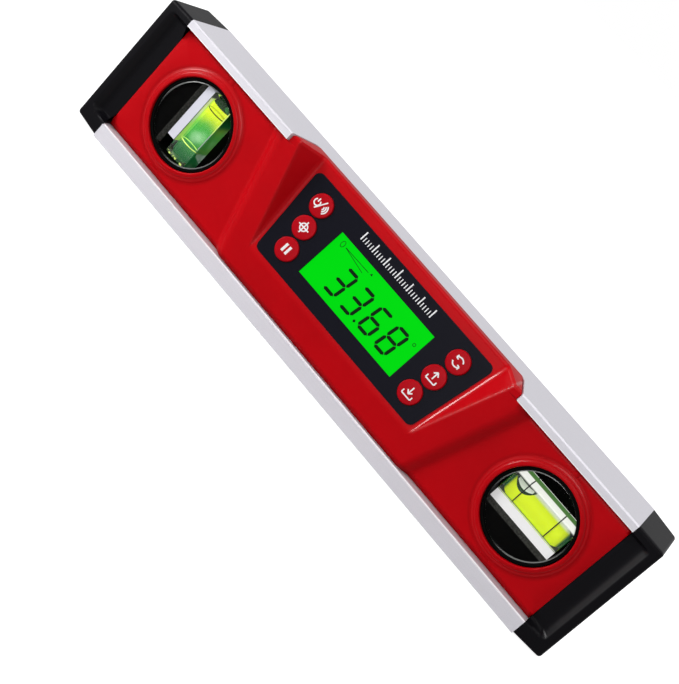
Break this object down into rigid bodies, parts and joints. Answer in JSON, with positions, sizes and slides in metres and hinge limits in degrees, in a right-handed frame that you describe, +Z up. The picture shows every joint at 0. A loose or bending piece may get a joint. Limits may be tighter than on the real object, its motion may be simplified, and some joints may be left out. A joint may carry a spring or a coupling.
{
  "type": "digital spirit level",
  "caption": "Short digital spirit level: aluminium I-section with a red housing, a sloping lit display with round keys, round level and plumb vial windows and black end caps.",
  "frame": {"origin": "middle of the base rail's underside, on the plane that the level rests on", "axes": "+X along the level towards its level vial, +Y away from the display, +Z up"},
  "size_m": [0.259, 0.03, 0.058],
  "materials": {
    "extruded_aluminium": "satin anodised, with fine lines along the length",
    "red_housing": "fine moulded grain",
    "black_caps": "fine moulded grain",
    "black_cups": "smooth moulded",
    "display_panel": "satin printed film",
    "display_glass": "lit from behind, green",
    "display_light": "milky light guide",
    "connector_rubber": "layered",
    "board": "lacquered",
    "black_components": "moulded",
    "key_red": "smooth moulded with a printed mark",
    "steel": "bright zinc",
    "cell_jacket": "plain printed jacket",
    "lead_sleeve": "smooth",
    "magnet_plating": "nickel plate",
    "clear_acrylic": "polished",
    "white_reflector": "smooth",
    "vial_fluid": "clear yellow-green liquid",
    "vial_bubble": "air"
  },
  "bodies": {
    "level": {"aluminium_frame": "extruded_aluminium", "base_magnets": "magnet_plating", "front_housing": "red_housing", "rear_housing": "red_housing", "left_end_cap": "black_caps", "right_end_cap": "black_caps", "housing_screws": "steel", "display_panel": "display_panel", "lcd_glass": "display_glass", "lcd_backlight": "display_light", "lcd_connector": "connector_rubber", "circuit_board": "board", "board_screws": "steel", "key_switches": "black_components", "tilt_sensor": "black_components", "controller_chip": "black_components", "buzzer": "black_components", "upper_battery": "cell_jacket", "lower_battery": "cell_jacket", "battery_bridge": "steel", "battery_contacts": "steel", "battery_leads": "lead_sleeve", "level_vial_cup": "black_cups", "level_vial_lens": "clear_acrylic", "level_vial_reflector": "white_reflector", "level_vial_block": "clear_acrylic", "level_vial_plug": "clear_acrylic", "level_vial_fluid": "vial_fluid", "plumb_vial_cup": "black_cups", "plumb_vial_lens": "clear_acrylic", "plumb_vial_reflector": "white_reflector", "plumb_vial_block": "clear_acrylic", "plumb_vial_plug": "clear_acrylic", "plumb_vial_fluid": "vial_fluid"},
    "battery_door": {"battery_door": "red_housing"},
    "hold_button": {"hold_button": "key_red"},
    "level_bubble": {"level_vial_bubble": "vial_bubble"},
    "mode_button": {"mode_button": "key_red"},
    "plumb_bubble": {"plumb_vial_bubble": "vial_bubble"},
    "power_button": {"power_button": "key_red"},
    "recall_button": {"recall_button": "key_red"},
    "reference_button": {"reference_button": "key_red"},
    "store_button": {"store_button": "key_red"}
  },
  "joints": [
    {"name": "power_press", "type": "slide", "parent": "level", "child": "power_button", "axis": [0, 0.9703, -0.2419], "range_m": [0, 0.0006], "stiffness_N_per_m": 600, "springref_m": -0.0005},
    {"name": "reference_press", "type": "slide", "parent": "level", "child": "reference_button", "axis": [0, 0.9703, -0.2419], "range_m": [0, 0.0006], "stiffness_N_per_m": 600, "springref_m": -0.0005},
    {"name": "hold_press", "type": "slide", "parent": "level", "child": "hold_button", "axis": [0, 0.9703, -0.2419], "range_m": [0, 0.0006], "stiffness_N_per_m": 600, "springref_m": -0.0005},
    {"name": "mode_press", "type": "slide", "parent": "level", "child": "mode_button", "axis": [0, 0.9703, -0.2419], "range_m": [0, 0.0006], "stiffness_N_per_m": 600, "springref_m": -0.0005},
    {"name": "recall_press", "type": "slide", "parent": "level", "child": "recall_button", "axis": [0, 0.9703, -0.2419], "range_m": [0, 0.0006], "stiffness_N_per_m": 600, "springref_m": -0.0005},
    {"name": "store_press", "type": "slide", "parent": "level", "child": "store_button", "axis": [0, 0.9703, -0.2419], "range_m": [0, 0.0006], "stiffness_N_per_m": 600, "springref_m": -0.0005},
    {"name": "battery_door_hinge", "type": "hinge", "parent": "level", "child": "battery_door", "pos_m": [-0.02705, 0.013, 0.03061], "axis": [0, 0, 1], "range_deg": [0, 90]},
    {"name": "level_bubble_run", "type": "slide", "parent": "level", "child": "level_bubble", "axis": [1, 0, 0], "range_m": [0, 0.0174], "deforming": ["level_vial_fluid"]},
    {"name": "plumb_bubble_run", "type": "slide", "parent": "level", "child": "plumb_bubble", "axis": [0, 0, -1], "range_m": [0, 0.0174], "stiffness_N_per_m": 2, "springref_m": -0.004, "deforming": ["plumb_vial_fluid"]}
  ]
}
